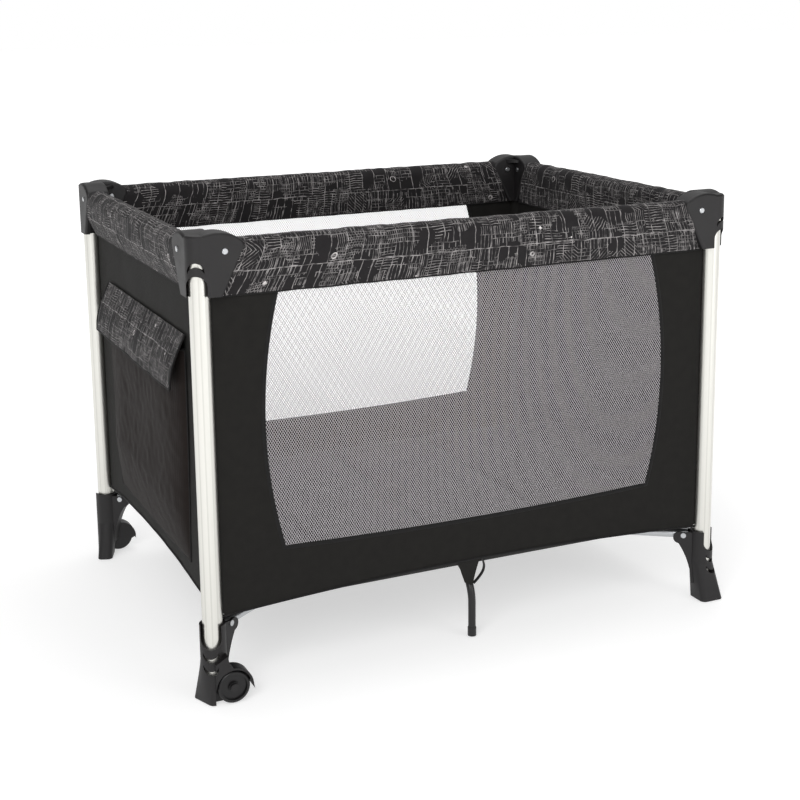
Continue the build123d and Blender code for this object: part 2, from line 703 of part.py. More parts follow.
def make_pocket():
    """Storage pocket sewn to the left end wall: a shallow cloth box that is open at the top."""
    wall_face = -half_x + wall_inset - cloth / 2
    with BuildPart() as pocket:
        with BuildSketch(Plane.XY.offset(pocket_low)):
            with Locations((wall_face - pocket_depth / 2, 0)):
                Rectangle(pocket_depth, 2 * pocket_half)
        extrude(amount=pocket_high - pocket_low)
        with BuildSketch(Plane.XY.offset(pocket_low + cloth)):
            with Locations((wall_face - pocket_depth / 2 + cloth, 0)):
                Rectangle(pocket_depth, 2 * (pocket_half - cloth))
        extrude(amount=pocket_high, mode=Mode.SUBTRACT)
    return pocket.part


def make_flap():
    """Printed flap that hangs over the pocket's mouth."""
    top_x = -half_x + wall_inset - cloth / 2 - gap
    low_x = top_x + gap - pocket_depth - flap_lead
    with BuildPart() as flap:
        with BuildSketch(Plane.XZ):
            with BuildLine():
                Polyline(
                    (top_x, flap_top), (top_x - flap_seam, flap_top),
                    (low_x - cloth, pocket_high + flap_seam),
                    (low_x - cloth, flap_top - flap_height), (low_x, flap_top - flap_height),
                    (low_x, pocket_high + flap_seam - 2 * gap), (top_x, flap_top - flap_seam), close=True,
                )
            make_face()
        extrude(amount=flap_half, both=True)
    return flap.part


# ---- build and write every piece ------------------------------------------------------------------------
post, cap, plain_foot, wheel_foot = make_post(), make_cap(), make_plain_foot(), make_wheel_foot()
wheel, arm, floor_quarter = make_wheel(), make_arm(), make_floor_quarter()
for corner, (side_x, side_y) in corners.items():
    save(to_corner(post, side_x, side_y), f"post_{corner}")
    save(to_corner(cap, side_x, side_y), f"cap_{corner}")
    save(to_corner(wheel_foot if side_x < 0 else plain_foot, side_x, side_y), f"foot_{corner}")
    save(to_corner(arm, side_x, side_y), f"arm_{corner}")
    quarter = floor_quarter
    if side_x > 0:
        quarter = mirror(quarter, about=Plane.YZ)
    if side_y > 0:
        quarter = mirror(quarter, about=Plane.XZ)
    save(quarter, f"floor_{corner}")
    if side_x < 0:
        save(to_corner(wheel, side_x, side_y), f"wheel_{corner}")

sides = {
    # the side's name: (name of each half and the corner it hangs on)
    "front": ("x", (("left", "front_left"), ("right", "front_right"))),
    "back": ("x", (("left", "back_left"), ("right", "back_right"))),
    "left": ("y", (("front", "front_left"), ("back", "back_left"))),
    "right": ("y", (("front", "front_right"), ("back", "back_right"))),
}
latch, button = make_latch(), make_button()
quarter_turn = Plane(origin=(0, 0, 0), z_dir=(1, -1, 0))  # swaps X and Y
for side, (axis, halves) in sides.items():
    rail = make_rail(rail_run[axis])
    cover = make_cover(half_x if axis == "x" else half_y)
    lock, knob = latch, button
    if axis == "y":
        rail, cover, lock, knob = (mirror(piece, about=quarter_turn) for piece in (rail, cover, lock, knob))
    for half, corner in halves:
        save(to_corner(rail, *corners[corner]), f"rail_{side}_{half}")
        save(to_corner(cover, *corners[corner]), f"cover_{side}_{half}")
    first = corners[halves[0][1]]
    last = corners[halves[1][1]]
    middle = Pos((first[0] + last[0]) / 2 * half_x, (first[1] + last[1]) / 2 * half_y, 0)
    save(middle * lock, f"latch_{side}")
    save(middle * knob, f"button_{side}")

for name, side in (("front", -1), ("back", 1)):
    save(make_leg(side), f"center_leg_{name}")
    save(Pos(0, side * half_y, 0) * make_long_wall(), f"wall_{name}")
    save(Pos(0, side * half_y, 0) * make_mesh(), f"mesh_{name}")
for name, side in (("left", -1), ("right", 1)):
    save(Pos(side * (half_x - wall_inset), 0, 0) * make_end_wall(), f"wall_{name}")
save(make_hub(), "hub")
save(make_hub_strap(), "hub_strap")
save(make_mattress(), "mattress")
save(make_pocket(), "pocket")
save(make_flap(), "pocket_flap")
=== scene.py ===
# %% [markdown]
# # A folding playpen
# A playpen is a cage of hinged tubes with a cloth tub hung inside it. The moulded corners, posts, wheels and
# hinges come from an exact model and only need their finishes here. The soft parts are made in this
# notebook: the padded band over the top rails, the cloth walls, the mesh windows, the end pocket with
# its flap, the floor and the mattress. Everything is in metres, with +Z up and the front at -Y.

# %% Load the exact frame
import math

import bpy
from mathutils import Matrix, Vector, noise


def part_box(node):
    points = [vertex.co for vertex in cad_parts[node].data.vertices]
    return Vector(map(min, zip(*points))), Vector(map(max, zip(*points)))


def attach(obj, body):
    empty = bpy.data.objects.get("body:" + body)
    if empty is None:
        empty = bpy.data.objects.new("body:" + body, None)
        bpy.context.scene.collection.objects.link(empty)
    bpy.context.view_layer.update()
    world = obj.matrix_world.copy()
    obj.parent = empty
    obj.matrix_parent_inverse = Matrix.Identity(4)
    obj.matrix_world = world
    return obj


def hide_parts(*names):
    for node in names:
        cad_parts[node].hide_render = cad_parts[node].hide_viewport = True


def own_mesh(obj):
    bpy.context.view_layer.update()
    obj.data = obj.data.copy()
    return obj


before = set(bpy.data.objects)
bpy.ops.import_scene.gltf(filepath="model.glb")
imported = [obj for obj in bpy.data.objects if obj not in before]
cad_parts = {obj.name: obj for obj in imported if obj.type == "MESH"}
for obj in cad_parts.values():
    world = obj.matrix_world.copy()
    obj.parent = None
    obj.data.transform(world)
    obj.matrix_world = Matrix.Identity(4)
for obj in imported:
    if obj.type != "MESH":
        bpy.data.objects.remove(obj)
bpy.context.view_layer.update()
bpy.ops.object.select_all(action="DESELECT")

# %% [markdown]
# Every soft piece hangs on the frame, so its size is read from the frame and never typed twice. The posts
# give the footprint, the caps give the top, and the plain cloth solids of the frame give the hems.

# %% Sizes that come from the frame
MM = 0.001
post_low, post_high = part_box("post_front_left")
half_x = -(post_low.x + post_high.x) / 2
half_y = -(post_low.y + post_high.y) / 2
post_radius = (post_high.x - post_low.x) / 2
cap_low, cap_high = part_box("cap_front_left")
cap_reach = cap_high.x + half_x
wall_low, wall_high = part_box("wall_front")
end_low, end_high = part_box("wall_left")
end_inset = half_x + (end_low.x + end_high.x) / 2
window_low, window_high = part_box("mesh_front")
band_low, band_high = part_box("cover_front_left")
rail_z = (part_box("rail_front_left")[0].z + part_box("rail_front_left")[1].z) / 2
corners = {"front_left": (-1, -1), "front_right": (1, -1), "back_left": (-1, 1), "back_right": (1, 1)}
print(f"post axes {2 * half_x:.3f} by {2 * half_y:.3f} m, band from {band_low.z:.3f} to {band_high.z:.3f} m")


# %% [markdown]
# ## Finishes
# One function turns a printed colour into the linear values that the shader wants, and one function adds
# a node with its settings and links. A cloth or a moulding is then a short recipe.

# %% Colour and node helpers
def colour(code):
    """An sRGB hex colour as the linear values a shader takes."""
    parts = [int(code[i : i + 2], 16) / 255 for i in (1, 3, 5)]
    return (*[c / 12.92 if c <= 0.04045 else ((c + 0.055) / 1.055) ** 2.4 for c in parts], 1.0)


def add(material, kind, inputs=None, **settings):
    """Adds a node. An input is a plain value or another node's output socket."""
    tree = material.node_tree
    made = tree.nodes.new(kind)
    for name, value in settings.items():
        setattr(made, name, value)
    for name, value in (inputs or {}).items():
        if isinstance(value, bpy.types.NodeSocket):
            tree.links.new(value, made.inputs[name])
        else:
            made.inputs[name].default_value = value
    return made


def finish(name, base, roughness, **sockets):
    """A new material with its surface shader's own sockets set."""
    material = bpy.data.materials.new(name)
    material.use_nodes = True
    surface = material.node_tree.nodes["Principled BSDF"]
    surface.inputs["Base Color"].default_value = colour(base)
    surface.inputs["Roughness"].default_value = roughness
    for socket, value in sockets.items():
        surface.inputs[socket.replace("_", " ")].default_value = value
    return material, surface


def link(material, output, socket):
    material.node_tree.links.new(output, socket)


# a mix node has sockets of one name for each kind of value, so its colour sockets go by number
MIX_A, MIX_B, MIX_RESULT = 6, 7, 2


# %% [markdown]
# **Anodised aluminium.** The posts are extruded tubes, etched and clear anodised. That leaves a pale satin
# metal with very fine lines along the tube, which stretch the highlights. The lines are noise squeezed
# across the tube and drawn out along it.

# %% Metals
def drawn_metal(name, base, roughness, grain, variation):
    """A metal with drawing lines along Z, grain metres apart."""
    material, surface = finish(name, base, roughness, Metallic=1.0)
    place = add(material, "ShaderNodeTexCoord")
    lines = add(material, "ShaderNodeMapping", {"Vector": place.outputs["Object"], "Scale": (1, 1, 0.01)})
    streak = add(
        material, "ShaderNodeTexNoise", {"Vector": lines.outputs["Vector"], "Scale": 1 / grain, "Detail": 3.0}
    )
    rough = add(
        material,
        "ShaderNodeMapRange",
        {"Value": streak.outputs["Fac"], "To Min": roughness - variation, "To Max": roughness + variation},
    )
    bump = add(
        material, "ShaderNodeBump", {"Height": streak.outputs["Fac"], "Strength": 0.15, "Distance": 0.05 * MM}
    )
    link(material, rough.outputs["Result"], surface.inputs["Roughness"])
    link(material, bump.outputs["Normal"], surface.inputs["Normal"])
    return material


def maths(material, operation, *values):
    """The output of a sum on values and sockets."""
    made = add(material, "ShaderNodeMath", operation=operation)
    for number, value in enumerate(values):
        if isinstance(value, bpy.types.NodeSocket):
            link(material, value, made.inputs[number])
        else:
            made.inputs[number].default_value = value
    return made.outputs["Value"]


anodised = drawn_metal("anodised_aluminium", "#E4E3DD", 0.34, 1.2 * MM, 0.06)
zinc_steel = drawn_metal("zinc_plated_steel", "#B9BBBD", 0.32, 2.0 * MM, 0.08)

# the extrusion has fine flutes along it, spaced by their angle round each post's own axis; they are not in
# the shape, so their shade is painted into the colour as darker stripes
flutes = 10
surface = anodised.node_tree.nodes["Principled BSDF"]
where = add(anodised, "ShaderNodeTexCoord")
spot = add(anodised, "ShaderNodeSeparateXYZ", {"Vector": where.outputs["Object"]})
east = maths(anodised, "SUBTRACT", maths(anodised, "ABSOLUTE", spot.outputs["X"]), half_x)
north = maths(anodised, "SUBTRACT", maths(anodised, "ABSOLUTE", spot.outputs["Y"]), half_y)
angle = maths(anodised, "MULTIPLY", maths(anodised, "ARCTAN2", north, east), flutes)
ripple = maths(anodised, "COSINE", angle)
flute_shade_mask = add(anodised, "ShaderNodeMapRange", {"Value": ripple, "From Min": 0.55, "From Max": 1.0})
# painted shade: the metal is darker along a narrow stripe of each flute, standing for the shade of a groove
painted_flute_shade = add(
    anodised,
    "ShaderNodeMix",
    {"Factor": flute_shade_mask.outputs["Result"], MIX_A: colour("#D9D8D2"), MIX_B: colour("#CBCAC4")},
    data_type="RGBA",
)
link(anodised, painted_flute_shade.outputs[MIX_RESULT], surface.inputs["Base Color"])


# %% [markdown]
# **Moulded ABS and nylon.** The caps, feet and hub are injection moulded in a spark-eroded tool, so black
# plastic has a fine pebbled grain that turns the gloss into a soft sheen. Handling polishes it unevenly.

# %% Mouldings
def moulded(name, base, roughness, grain):
    """Black engineering plastic with a pebbled tool finish, grain metres across."""
    material, surface = finish(name, base, roughness, IOR=1.53, Specular_IOR_Level=0.36)
    place = add(material, "ShaderNodeTexCoord")
    pebble = add(material, "ShaderNodeTexVoronoi", {"Vector": place.outputs["Object"], "Scale": 1 / grain})
    handled = add(
        material, "ShaderNodeTexNoise", {"Vector": place.outputs["Object"], "Scale": 28.0, "Detail": 4.0}
    )
    rough = add(
        material,
        "ShaderNodeMapRange",
        {"Value": handled.outputs["Fac"], "To Min": roughness - 0.1, "To Max": roughness + 0.1},
    )
    grainy = {"Height": pebble.outputs["Distance"], "Strength": 0.35, "Distance": 0.12 * MM}
    bump = add(material, "ShaderNodeBump", grainy)
    link(material, rough.outputs["Result"], surface.inputs["Roughness"])
    link(material, bump.outputs["Normal"], surface.inputs["Normal"])
    return material


moulding = moulded("moulded_abs_black", "#151314", 0.5, 0.9 * MM)
wheel_nylon = moulded("moulded_nylon_black", "#0F0E0F", 0.36, 1.4 * MM)
button_abs = moulded("moulded_abs_red", "#8C2A24", 0.4, 0.9 * MM)
powder_coat = moulded("powder_coated_steel_black", "#1A191A", 0.32, 1.1 * MM)


# %% [markdown]
# **Woven polyester.** The walls are a coated oxford cloth: a plain weave of thick black yarn. Real yarns
# lie 0.5 mm apart, which is too fine to show at this distance, so the weave is drawn 1.5 mm apart. Two sets
# of waves at right angles make it, and a little sheen stands for the loose fibres that catch the light.

# %% Woven cloth
WAVE = 0.314  # a wave texture of this scale has one band to the metre


def weave(material, vector, spacing):
    """Height of a plain weave whose yarns are spacing metres apart, and the noise that makes it uneven."""
    uneven = add(material, "ShaderNodeTexNoise", {"Vector": vector, "Scale": 55.0, "Detail": 3.0})
    quarter = math.pi / 2
    turn = add(material, "ShaderNodeMapping", {"Vector": vector, "Rotation": (0, quarter, quarter)})
    yarns = []
    for across in (vector, turn.outputs["Vector"]):
        wave = add(
            material,
            "ShaderNodeTexWave",
            {"Vector": across, "Scale": WAVE / spacing, "Distortion": 0.6, "Detail": 1.0},
            wave_type="BANDS",
            bands_direction="X",
        )
        yarns.append(wave.outputs["Fac"])
    return maths(material, "ADD", *yarns), uneven.outputs["Fac"]


def woven(name, dark, light, roughness, spacing, coordinates="Object", depth=0.25, sheen=0.25):
    """Plain-weave cloth: two close shades mixed unevenly, with the weave in its bump."""
    fibres = {"Sheen_Weight": sheen, "Sheen_Roughness": 0.4, "Specular_IOR_Level": 0.13}
    material, surface = finish(name, dark, roughness, **fibres)
    place = add(material, "ShaderNodeTexCoord")
    height, uneven = weave(material, place.outputs[coordinates], spacing)
    shades = {"Factor": uneven, MIX_A: colour(dark), MIX_B: colour(light)}
    shade = add(material, "ShaderNodeMix", shades, data_type="RGBA")
    bump = add(material, "ShaderNodeBump", {"Height": height, "Strength": 0.5, "Distance": depth * MM})
    link(material, shade.outputs[MIX_RESULT], surface.inputs["Base Color"])
    link(material, bump.outputs["Normal"], surface.inputs["Normal"])
    return material


wall_cloth = woven("coated_oxford_polyester_black", "#161514", "#1E1D1B", 0.75, 1.5 * MM, sheen=0.02)
pocket_cloth = woven("brushed_polyester_brown_black", "#171210", "#201A18", 0.8, 1.5 * MM, sheen=0.03)
binding_cloth = woven("polyester_binding_tape", "#151515", "#201F1F", 0.7, 1.2 * MM, sheen=0.04)
mattress_cloth = woven("brushed_polycotton_black", "#1F1E1E", "#2A2929", 0.85, 1.8 * MM, sheen=0.06)
webbing = woven("polypropylene_webbing_black", "#1B1A1B", "#282728", 0.6, 2.0 * MM, depth=0.4, sheen=0.04)
mesh_thread = woven("knitted_polyester_mesh_grey", "#A8A4A7", "#B7B3B5", 0.7, 1.5 * MM, depth=0.15, sheen=0.1)

# %% [markdown]
# **Printed cloth.** The band and the flap carry thin pale line drawings on black, like a sketched town. The
# print is built from plain patterns: boxes within boxes for houses and their windows, zigzags for roofs,
# rings for wheels and suns, and a few small solid shapes. Each fills its own patches of the cloth, and a
# slow noise bends the lines and breaks them, as a pen does. It follows the cloth's own map, in metres.

# %% Printed cloth
printed = woven("printed_polyester", "#1A191A", "#252324", 0.78, 1.4 * MM, coordinates="UV", sheen=0.05)


def pen_map(material, wobble, size):
    """The cloth's map, pushed about by wobble metres so that ruled lines look drawn by hand."""
    place = add(material, "ShaderNodeTexCoord")
    shake = add(
        material, "ShaderNodeTexNoise", {"Vector": place.outputs["UV"], "Scale": 1 / size, "Detail": 2.0}
    )
    halves = {0: shake.outputs["Color"], 1: (0.5, 0.5, 0.5)}
    centred = add(material, "ShaderNodeVectorMath", halves, operation="SUBTRACT")
    scaled = add(
        material, "ShaderNodeVectorMath", {0: centred.outputs["Vector"], "Scale": wobble}, operation="SCALE"
    )
    moved = add(
        material,
        "ShaderNodeVectorMath",
        {0: place.outputs["UV"], 1: scaled.outputs["Vector"]},
        operation="ADD",
    )
    return moved.outputs["Vector"]


def boxes(material, vector, width, height, line, shift):
    """Lines of a row of boxes, line metres wide."""
    moved = add(material, "ShaderNodeMapping", {"Vector": vector, "Location": shift})
    brick = add(
        material,
        "ShaderNodeTexBrick",
        {
            "Vector": moved.outputs["Vector"],
            "Scale": 1.0,
            "Brick Width": width,
            "Row Height": height,
            "Mortar Size": line / 2,
            "Mortar Smooth": 0.1,
        },
        offset=0.37,
        squash=0.6,
        squash_frequency=3,
    )
    return brick.outputs["Fac"]


def patches(material, vector, size, low, high):
    """1 in the patches of cloth, size metres across, whose random value lies between low and high, and the
    texture that lays the patches out."""
    cells = add(
        material,
        "ShaderNodeTexVoronoi",
        {"Vector": vector, "Scale": 1 / size, "Randomness": 0.85},
        distance="CHEBYCHEV",
    )
    pick = add(material, "ShaderNodeSeparateColor", {"Color": cells.outputs["Color"]})
    value = pick.outputs["Red"]
    above, below = maths(material, "GREATER_THAN", value, low), maths(material, "LESS_THAN", value, high)
    return maths(material, "MULTIPLY", above, below), cells


def print_on(material):
    """Lays the line drawings over a woven cloth's colour."""
    drawn = pen_map(material, 8 * MM, 34 * MM)
    start = (3 * MM, 4 * MM, 0)
    layers = []

    def ink(pattern, area, strength):
        """Adds a pattern within an area, or all over, with that share of the ink's full tone."""
        inked = maths(material, "MULTIPLY", pattern, area) if area else pattern
        layers.append(maths(material, "MULTIPLY", inked, strength))

    # house fronts, storeys and windows, each in patches of its own: low, high, width, height, line, strength
    size = 30 * MM
    for low, high, width, height, line, strength in (
        (0.0, 0.3, 11 * MM, 31 * MM, 1.0 * MM, 0.42),
        (0.12, 0.45, 6.5 * MM, 23 * MM, 0.9 * MM, 0.3),
        (0.4, 0.54, 19 * MM, 7 * MM, 0.9 * MM, 0.34),
        (0.5, 0.62, 5.2 * MM, 4.4 * MM, 0.8 * MM, 0.36),
    ):
        area, _ = patches(material, drawn, size, low, high)
        ink(boxes(material, drawn, width, height, line, start), area, strength)
    ink(boxes(material, drawn, 29 * MM, 61 * MM, 1.3 * MM, (10 * MM, 20 * MM, 0)), None, 0.46)
    # ladders, fences and roofs, ruled in three directions: turn in radians, low, high, strength
    ruled = ((0.75, 0.62, 0.66, 0.4), (1.57, 0.66, 0.76, 0.5), (-0.75, 0.8, 0.83, 0.4))
    for turn, low, high, strength in ruled:
        area, _ = patches(material, drawn, size, low, high)
        turned = add(material, "ShaderNodeMapping", {"Vector": drawn, "Rotation": (0, 0, turn)})
        wave = add(
            material,
            "ShaderNodeTexWave",
            {"Vector": turned.outputs["Vector"], "Scale": WAVE / (5 * MM), "Distortion": 1.6, "Detail": 1.0},
            wave_profile="TRI",
        )
        ink(maths(material, "GREATER_THAN", wave.outputs["Fac"], 0.8), area, strength)
    # wheels and suns: rings round the middle of a patch
    area, cells = patches(material, drawn, 36 * MM, 0.76, 0.9)
    from_middle = add(
        material, "ShaderNodeVectorMath", {0: drawn, 1: cells.outputs["Position"]}, operation="DISTANCE"
    ).outputs["Value"]
    rings = maths(material, "SINE", maths(material, "MULTIPLY", from_middle, 2 * math.pi / (5 * MM)))
    close = maths(material, "LESS_THAN", from_middle, 8 * MM)
    ink(maths(material, "GREATER_THAN", rings, 0.62), maths(material, "MULTIPLY", area, close), 0.8)
    # a few small solid shapes, as bright windows and birds
    dots = add(
        material, "ShaderNodeTexVoronoi", {"Vector": drawn, "Scale": 1 / (60 * MM)}, distance="MANHATTAN"
    )
    ink(maths(material, "LESS_THAN", dots.outputs["Distance"], 0.07), None, 1.0)
    total = layers[0]
    for layer in layers[1:]:
        total = maths(material, "MAXIMUM", total, layer)
    breaks = add(material, "ShaderNodeTexNoise", {"Vector": drawn, "Scale": 90.0, "Detail": 3.0})
    kept = add(
        material,
        "ShaderNodeMapRange",
        {"Value": breaks.outputs["Fac"], "From Min": 0.36, "From Max": 0.62, "To Min": 0.12, "To Max": 1.0},
    )
    cover = maths(material, "MULTIPLY", total, kept.outputs["Result"])
    surface = material.node_tree.nodes["Principled BSDF"]
    cloth = surface.inputs["Base Color"].links[0].from_socket
    over = add(
        material, "ShaderNodeMix", {"Factor": cover, MIX_A: cloth, MIX_B: colour("#D6D1D0")}, data_type="RGBA"
    )
    link(material, over.outputs[MIX_RESULT], surface.inputs["Base Color"])


print_on(printed)
print("finishes", sorted(m.name for m in bpy.data.materials))


# %% [markdown]
# ## The frame's own finishes
# The exact parts keep their shapes. Each gets its finish by what it is.

# %% Finish the exact parts
def paint(piece, material):
    piece.data.materials.clear()
    piece.data.materials.append(material)


finishes = (
    ("post_", anodised),
    ("rail_", zinc_steel),
    ("arm_", zinc_steel),
    ("center_leg", powder_coat),
    ("cap_", moulding),
    ("foot_", moulding),
    ("latch_", moulding),
    ("hub_strap", webbing),
    ("hub", moulding),
    ("wheel_", wheel_nylon),
    ("button_", button_abs),
)
for name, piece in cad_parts.items():
    for start, material in finishes:
        if name.startswith(start):
            paint(piece, material)
            break


# %% [markdown]
# The feet have a second crescent below the end of the tube. A short ring of the same aluminium is pressed in
# behind it. It is bisected from a cylinder, so that only the strip behind the crescent is left.

# %% Aluminium inlays in the feet
inlay_low, inlay_high = 44 * MM, post_low.z - 0.2 * MM
inlay_fit = 0.4 * MM  # how far the inlay stays inside the post's bore in the foot
facing = math.radians(30)
for corner, (side_x, side_y) in corners.items():
    bpy.ops.object.select_all(action="DESELECT")
    bpy.ops.mesh.primitive_cylinder_add(
        vertices=64, radius=post_radius - inlay_fit, depth=inlay_high - inlay_low,
        location=(side_x * half_x, side_y * half_y, (inlay_low + inlay_high) / 2),
    )
    inlay = bpy.context.object
    inlay.name = inlay.data.name = f"foot_inlay_{corner}"
    bpy.ops.object.transform_apply(location=True, rotation=True, scale=True)
    out = Vector((side_x * math.sin(facing), side_y * math.cos(facing), 0))
    bpy.ops.object.mode_set(mode="EDIT")
    bpy.ops.mesh.select_all(action="SELECT")
    cut_at = Vector((side_x * half_x, side_y * half_y, 0)) + out * (post_radius * 0.5)
    bpy.ops.mesh.bisect(plane_co=cut_at, plane_no=out, clear_inner=True, use_fill=True)
    bpy.ops.object.mode_set(mode="OBJECT")
    bpy.ops.object.shade_smooth_by_angle(angle=math.radians(30))
    paint(inlay, anodised)
    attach(inlay, f"post_{corner}")

# %% [markdown]
# ## Cloth as a shaped grid
# A cut of cloth starts as a flat grid primitive. Each of its points is put in place by a rule that says
# where that part of the cut goes, and the map keeps the cut's real size, so a print or a weave runs true.
# Solidify gives the cloth its thickness. Small slow noise stands for the wrinkles of a hand-sewn skin.

# %% Cloth helpers
def apply_modifiers(piece):
    bpy.context.view_layer.objects.active = piece
    for modifier in list(piece.modifiers):
        bpy.ops.object.modifier_apply(modifier=modifier.name)


def cloth_grid(name, columns, rows, size, place, material, thickness=1.2 * MM, flip=False, mirror=False):
    """A cut of cloth of that size in metres. place(u, v) says where each point goes, u and v from 0 to 1. A
    mirrored cut starts its map at the other end, so that a pattern runs on from the piece beside it."""
    bpy.ops.object.select_all(action="DESELECT")
    bpy.ops.mesh.primitive_grid_add(x_subdivisions=columns, y_subdivisions=rows, size=1, calc_uvs=True)
    piece = bpy.context.object
    piece.name = piece.data.name = name
    cut = [(point.co.x + 0.5, point.co.y + 0.5) for point in piece.data.vertices]
    layer = piece.data.uv_layers.active.data
    for loop in piece.data.loops:
        u, v = cut[loop.vertex_index]
        layer[loop.index].uv = ((1 - u if mirror else u - 1) * size[0], v * size[1])
    for point, (u, v) in zip(piece.data.vertices, cut):
        point.co = place(u, v)
    if flip:
        piece.data.flip_normals()
    if thickness:
        solid = piece.modifiers.new("thickness", "SOLIDIFY")
        solid.thickness, solid.offset = thickness, 0.0
        apply_modifiers(piece)
    bpy.ops.object.shade_smooth_by_angle(angle=math.radians(50))
    paint(piece, material)
    return piece


def wrinkle(a, b, size, seed):
    """Smooth noise from about -1 to 1 over the cloth, with hollows about size metres apart."""
    return noise.noise(Vector((a / size, b / size, seed)))


def cord_along(name, routes, radius, material, closed=False, flat=(1, 1, 1)):
    """Piping: a round cord along each route of points. flat squeezes it about its first point."""
    line = bpy.data.curves.new(name, "CURVE")
    line.dimensions, line.bevel_depth, line.bevel_resolution, line.use_fill_caps = "3D", radius, 2, True
    for route in routes:
        spline = line.splines.new("POLY")
        spline.points.add(len(route) - 1)
        for point, place in zip(spline.points, route):
            point.co = (*place, 1)
        spline.use_cyclic_u = closed
    piece = bpy.data.objects.new(name, line)
    bpy.context.scene.collection.objects.link(piece)
    bpy.ops.object.select_all(action="DESELECT")
    piece.select_set(True)
    bpy.context.view_layer.objects.active = piece
    bpy.ops.object.convert(target="MESH")
    piece = bpy.context.object
    middle = Vector(routes[0][0])
    for point in piece.data.vertices:
        for axis in range(3):
            point.co[axis] = middle[axis] + (point.co[axis] - middle[axis]) * flat[axis]
    bpy.ops.object.shade_smooth()
    paint(piece, material)
    return piece


# %% [markdown]
# ## The band over the top rails
# Each side of the playpen has one padded sleeve over its two half rails and the lock between them. It is
# round over the rail and narrows to a hem that is sewn to the wall. Each half is a piece of its own,
# because the rail under it folds at the middle. The outer ends follow the edge of the corner cap and tuck
# in behind it.

# %% Shape of the band
band_radius = 20.5 * MM
band_crown = band_high.z + 1.0 * MM
band_hem = band_low.z + 2 * MM
band_waist = rail_z - 24 * MM  # below this the two sides draw together towards the wall
hem_half = 4.5 * MM
lobe = 34 * MM  # the cap's reach at its lower edge, less the tuck
tuck = 7 * MM
cap_edge = cap_reach - 4 * MM  # the cap's reach at the rail, less its rounding
girth = 2 * (band_crown - band_radius - band_hem) + math.pi * band_radius


def band_section(v, wall_shift):
    """Offset from the rail's plane, height and outward way, at v from 0, the outer hem, to 1, the inner."""
    side_length = band_crown - band_radius - band_hem
    run = v * girth
    centre = band_crown - band_radius
    if side_length < run < side_length + math.pi * band_radius:
        angle = (run - side_length) / band_radius
        out = (math.cos(angle), math.sin(angle))
        return band_radius * out[0], centre + band_radius * out[1], out
    outer = run <= side_length
    rise = run if outer else girth - run
    height = band_hem + rise
    sign = 1 if outer else -1
    drawn_in = max(0.0, (band_waist - height) / (band_waist - band_hem)) ** 1.4
    wide = band_radius * sign * (1 - drawn_in) + (wall_shift + hem_half * sign) * drawn_in
    return wide, height, (sign, 0)


def band_end(height):
    """How far from the post's axis the band starts at that height, behind the cap's slanted edge."""
    slope = (cap_edge - lobe) / (rail_z - cap_low.z)
    return min(max(lobe + (height - cap_low.z) * slope, lobe), cap_edge) - tuck


def band_half(along_x, side_x, side_y, middle):
    """The place() of half a band for cloth_grid, from the corner at u 0 to the lock at u 1."""
    wall_shift = 0.0 if along_x else -end_inset
    seed = 3.0 + 2 * side_y if along_x else 9.0 + 2 * side_x

    def place(u, v):
        offset, height, out = band_section(v, wall_shift)
        start = band_end(height)
        run = start + (middle - start) * u
        along = (side_x if along_x else side_y) * (middle - run)
        calm = min(1.0, 8 * u)  # the cloth is smooth where the cap holds it
        swell = 1.5 * wrinkle(along, height, 0.035, seed)
        swell = (swell + 0.9 * wrinkle(along, height * 0.6, 0.014, seed + 5)) * calm * MM
        near_hem = max(0.0, 1 - (height - band_hem) / (40 * MM))
        droop = 1.2 * MM * wrinkle(along, 0, 0.05, seed + 9) * calm * near_hem
        offset += out[0] * swell
        height += out[1] * swell + droop
        if along_x:
            return (side_x * (half_x - run), side_y * (half_y + offset), height)
        return (side_x * (half_x + offset), side_y * (half_y - run), height)

    return place


def ride_and_fold(piece, body):
    """The piece moves with that body and gets a mesh of its own."""
    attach(piece, body)
    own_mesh(piece)


# %% Make the eight halves of the band
sides = {
    "front": (True, (("left", "front_left"), ("right", "front_right"))),
    "back": (True, (("left", "back_left"), ("right", "back_right"))),
    "left": (False, (("front", "front_left"), ("back", "back_left"))),
    "right": (False, (("front", "front_right"), ("back", "back_right"))),
}
for side, (along_x, halves) in sides.items():
    middle = half_x if along_x else half_y
    for half, corner in halves:
        side_x, side_y = corners[corner]
        place = band_half(along_x, side_x, side_y, middle)
        name = f"band_{side}_{half}"
        reach = middle - band_end(rail_z)
        flip = (side_x * side_y > 0) == along_x
        far_half = half in ("right", "back")
        columns = round(reach / (6 * MM))
        band = cloth_grid(name, columns, 36, (reach, girth), place, printed, flip=flip, mirror=far_half)
        hems = [[place(i / columns, v) for i in range(columns + 1)] for v in (0, 1)]
        hem = cord_along(f"{name}_hem", hems, 1.7 * MM, binding_cloth)
        rail = f"rail_{side}_{half}"
        for piece in (band, hem):
            ride_and_fold(piece, rail)
        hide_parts(f"cover_{side}_{half}")
print(f"band halves are {girth * 1000:.0f} mm round and {band_crown - band_hem:.3f} m tall")

# %% [markdown]
# ## The mesh windows
# The windows are warp-knitted mesh: small upright holes in staggered rows. One cell is a ring, made by
# insetting a tall diamond and deleting its middle. Arrays repeat it, and the faces outside the window's
# outline are deleted. The real holes are about 2.5 mm apart; these are drawn nearly twice as coarse, with
# the same share of thread, which is as fine as shows from here.

# %% Outline of a window
cell_width, cell_height = 4.4 * MM, 7.0 * MM
open_share = 0.64
window_half = 0.36
window_bulge = window_high.x - window_half
window_top = window_high.z
sill = window_low.z + 8 * MM


def arc_bulge(t, bulge):
    """Height of a shallow arc at t from -1 to 1, as a share of bulge."""
    return bulge * (1 - t * t)


def window_edge(height):
    """Half width of the window at that height."""
    middle, half = (window_top + sill) / 2, (window_top - sill) / 2
    return window_half + arc_bulge((height - middle) / half, window_bulge)


def window_sill(x):
    return sill - arc_bulge(x / window_half, sill - window_low.z)


